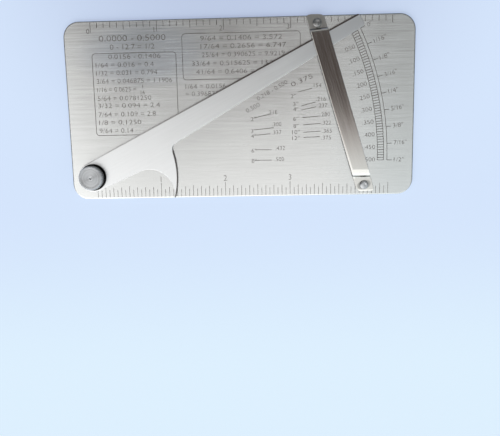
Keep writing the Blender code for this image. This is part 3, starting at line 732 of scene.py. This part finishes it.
# Titles: text, place of the middle, height and width. Rows: text, place of the left end, width.
LEFT_TITLES = (("0.0000 - 0.5000", 26.5, 61.6, 2.2, 25.5), ("0 - 12.7 = 1/2", 26.3, 58.4, 1.9, 17.0))
LEFT_ROWS = (
    ("0.0156 - 0.1406", 17.0, 54.8, 20.0), ("1/64 = 0.016 = 0.4", 11.9, 51.8, 22.4),
    ("1/32 = 0.031 = 0.794", 11.9, 48.8, 23.6), ("3/64 = 0.046875 = 1.1906", 11.9, 45.7, 29.2),
    ("1/16 = 0.0625 =", 11.9, 42.5, 15.2), ("5/64 = 0.0781250", 11.9, 39.2, 20.8),
    ("3/32 = 0.094 = 2.4", 11.9, 36.4, 24.1), ("7/64 = 0.109 = 2.8", 11.9, 33.1, 22.4),
    ("1/8 = 0.1250", 11.9, 30.0, 16.5), ("9/64 = 0.14", 11.9, 26.8, 13.2),
)
RIGHT_ROWS = (
    ("9/64 = 0.1406 = 3.572", 52.5, 60.8, 31.0), ("17/64 = 0.2656 = 6.747", 52.5, 57.8, 32.5),
    ("25/64 = 0.390625 = 9.9219", 52.9, 54.7, 31.5), ("33/64 = 0.515625 = 13.097", 49.0, 51.5, 34.5),
    ("41/64 = 0.6406 = 16.272", 50.5, 48.4, 32.0), ("1/64 = 0.0156", 46.2, 43.0, 15.5),
    ("= 0.396875", 46.2, 40.2, 12.5),
)
ROW_HEIGHT = 1.75
STACKED_FRACTION = (("1", 29.6, 43.4), ("16", 29.6, 41.2))
STACKED_HEIGHT = 1.5


def panel_numbers(material):
    """Rows of fractions with their decimals and millimetres, in and round the framed panels."""
    sheet = NumberSheet()
    for text, x, y, height, width in LEFT_TITLES:
        sheet.add(text, x, y, height, width=width)
    for text, x, y, width in LEFT_ROWS + RIGHT_ROWS:
        sheet.add(text, x, y, ROW_HEIGHT, width=width, align="LEFT")
    for text, x, y in STACKED_FRACTION:
        sheet.add(text, x, y, STACKED_HEIGHT)
    sheet.finish("panel_numbers", material)


# Surroundings


def make_floor():
    """A pale floor that glows a little, dimmer behind the gauge and brighter in front of it."""
    bm = bmesh.new()
    bmesh.ops.create_grid(bm, x_segments=1, y_segments=1, size=FLOOR_HALF_SIZE * MM)
    bmesh.ops.translate(bm, verts=bm.verts, vec=(0, 0, -FLOOR_DROP * MM))
    mesh = bpy.data.meshes.new("floor")
    bm.to_mesh(mesh)
    bm.free()
    floor = bpy.data.objects.new("floor", mesh)
    bpy.context.scene.collection.objects.link(floor)
    material = bpy.data.materials.new("pale_floor")
    material.use_nodes = True
    tree = material.node_tree
    tree.nodes.clear()
    place = stretched(tree, add_node(tree, "ShaderNodeTexCoord").outputs["Object"], (1 / MM, 1 / MM, 0))
    reach = vector_node(tree, "LENGTH", vector_node(tree, "SUBTRACT", place, FLOOR_FAR_MIDDLE), output=1)
    lit = remap(tree, reach, *FLOOR_FAR_REACH, smooth=True)
    near = remap(tree, split(tree, place)["Y"], *FLOOR_NEAR_EDGE, smooth=True)
    colour = mix_colour(tree, lit, FLOOR_FAR_COLOUR, FLOOR_COLOUR)
    diffuse = add_node(tree, "ShaderNodeBsdfDiffuse")
    diffuse.inputs["Color"].default_value = (*FLOOR_ALBEDO, 1.0)
    glow = add_node(tree, "ShaderNodeEmission")
    feed(tree, glow.inputs["Color"], mix_colour(tree, near, colour, FLOOR_NEAR_COLOUR))
    both = add_node(tree, "ShaderNodeMixShader")
    both.inputs[0].default_value = FLOOR_GLOW
    tree.links.new(diffuse.outputs[0], both.inputs[1])
    tree.links.new(glow.outputs[0], both.inputs[2])
    tree.links.new(both.outputs[0], add_node(tree, "ShaderNodeOutputMaterial").inputs["Surface"])
    mesh.materials.append(material)


def sky_patch(tree, slopes, patch, inner, outer):
    """One inside an ellipse of the sky and nought outside it."""
    return remap(tree, patch_reach(tree, slopes, patch), inner, outer, 1.0, 0.0, smooth=True)


def make_world():
    """A sky that is brighter on the near side, with a bright band and corner, dim patches
    overhead, behind and at the sides, and a dark horizon. The camera sees a plain backdrop."""
    world = bpy.data.worlds.new("soft_room")
    bpy.context.scene.world = world
    world.use_nodes = True
    tree = world.node_tree
    tree.nodes.clear()
    direction = split(tree, add_node(tree, "ShaderNodeTexCoord").outputs["Generated"])
    height = math_node(tree, "MAXIMUM", direction["Z"], 0.02)
    slope_x = math_node(tree, "DIVIDE", direction["X"], height)
    slope_y = math_node(tree, "DIVIDE", direction["Y"], height)
    joined = add_node(tree, "ShaderNodeCombineXYZ")
    feed(tree, joined.inputs["X"], slope_x)
    feed(tree, joined.inputs["Y"], slope_y)
    slopes = joined.outputs[0]

    sky = remap(tree, slope_y, *SKY_SLOPES, *SKY_STRENGTHS, smooth=True)
    corner = product(tree, remap(tree, slope_x, -0.2, -0.42, smooth=True),
                     remap(tree, slope_y, 0.0, -0.35, smooth=True))
    low_band = sky_patch(tree, slopes, LOW_BAND, 0.3, 1.2)
    near = sky_patch(tree, slopes, NEAR_PATCH, 0.6, 1.2)
    for share, light in ((corner, CORNER_LIGHT), (low_band, LOW_BAND_LIGHT), (near, NEAR_LIGHT)):
        sky = math_node(tree, "MULTIPLY_ADD", share, light, sky)

    overhead = sky_patch(tree, slopes, OVERHEAD_PATCH, 0.6, 1.35)
    back = sky_patch(tree, slopes, BACK_PATCH, 0.5, 1.3)
    left = sky_patch(tree, slopes, LEFT_PATCH, 0.4, 1.2)
    right = remap(tree, slope_x, 0.1, 0.2, smooth=True)
    sides = product(tree, remap(tree, math_node(tree, "ABSOLUTE", direction["X"]), 0.38, 0.6, smooth=True),
                    remap(tree, direction["Y"], -0.5, -0.25), remap(tree, direction["Z"], 0.4, 0.6))
    horizon = product(tree, remap(tree, direction["Z"], 0.6, 0.4, smooth=True),
                      remap(tree, direction["Y"], -0.6, 0.1, 0.3, 1.0),
                      remap(tree, direction["X"], 0.4, 0.8, 1.0, 0.4))
    for share, dim in (
        (overhead, OVERHEAD_DIM), (back, BACK_DIM), (left, LEFT_DIM), (right, RIGHT_DIM),
        (sides, SIDES_DIM), (horizon, HORIZON_DIM),
    ):
        sky = product(tree, sky, math_node(tree, "MULTIPLY_ADD", share, -dim, 1.0))

    colour = mix_colour(tree, back, (1.0, 1.0, 1.0), BACK_TINT)
    colour = mix_colour(tree, right, colour, RIGHT_TINT)
    colour = mix_colour(tree, overhead, colour, OVERHEAD_TINT)
    seen = add_node(tree, "ShaderNodeLightPath").outputs["Is Camera Ray"]
    strength = product(tree, sky, math_node(tree, "SUBTRACT", 1.0, seen))
    background = add_node(tree, "ShaderNodeBackground")
    feed(tree, background.inputs["Color"], mix_colour(tree, seen, colour, BACKDROP_COLOUR))
    feed(tree, background.inputs["Strength"], math_node(tree, "ADD", strength, seen))
    tree.links.new(background.outputs[0], add_node(tree, "ShaderNodeOutputWorld").inputs["Surface"])


def make_camera():
    data = bpy.data.cameras.new("camera")
    data.lens = CAMERA_LENS
    data.sensor_width = SENSOR_WIDTH
    data.clip_start = 0.01
    camera = bpy.data.objects.new("camera", data)
    camera.location = CAMERA_PLACE
    camera.rotation_euler = CAMERA_TURN
    bpy.context.scene.collection.objects.link(camera)
    bpy.context.scene.camera = camera


def dress_turned_pieces():
    """Give the knob, the washer, the bush and the rivets their rings."""
    rings = turned_rings_group()
    knurl = (KNURL_RADIUS, (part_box("thumb_knob")[1].z - PIVOT.z) / MM - KNURL_BELOW_TOP)
    knob = turned_finish(
        "turned_knob_steel", rings, KNOB_COLOUR, KNOB_ROUGHNESS, PIVOT, KNOB_RING_HEIGHT, knurl)
    dress(knob, "thumb_knob")
    washer = turned_finish(
        "washer_steel", rings, WASHER_COLOUR, WASHER_ROUGHNESS, PIVOT, WASHER_RING_HEIGHT)
    dress(washer, "pressure_washer", "pivot_bush")
    # the upper rivet is painted darker as shade than the lower
    for name, colour in (("upper_rivet", SHADED_RIVET_COLOUR), ("lower_rivet", RIVET_COLOUR)):
        low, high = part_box(name)
        rivet = turned_finish(
            f"{name}_steel", rings, colour, RIVET_ROUGHNESS, (low + high) / 2, RIVET_RING_HEIGHT)
        dress(rivet, name)


def main():
    bpy.context.scene.view_settings.view_transform = "Standard"
    grain = brushed_grain_group()
    dress(plate_finish(grain), "base_plate")
    dress(blade_finish(grain), "pointer_blade")
    dress(strap_finish(grain), "guide_strap")
    dress_turned_pieces()
    etch = etch_finish()
    rule_numbers(etch)
    scale_numbers(etch)
    table_numbers(etch)
    panel_numbers(etch)
    make_floor()
    make_world()
    make_camera()


main()
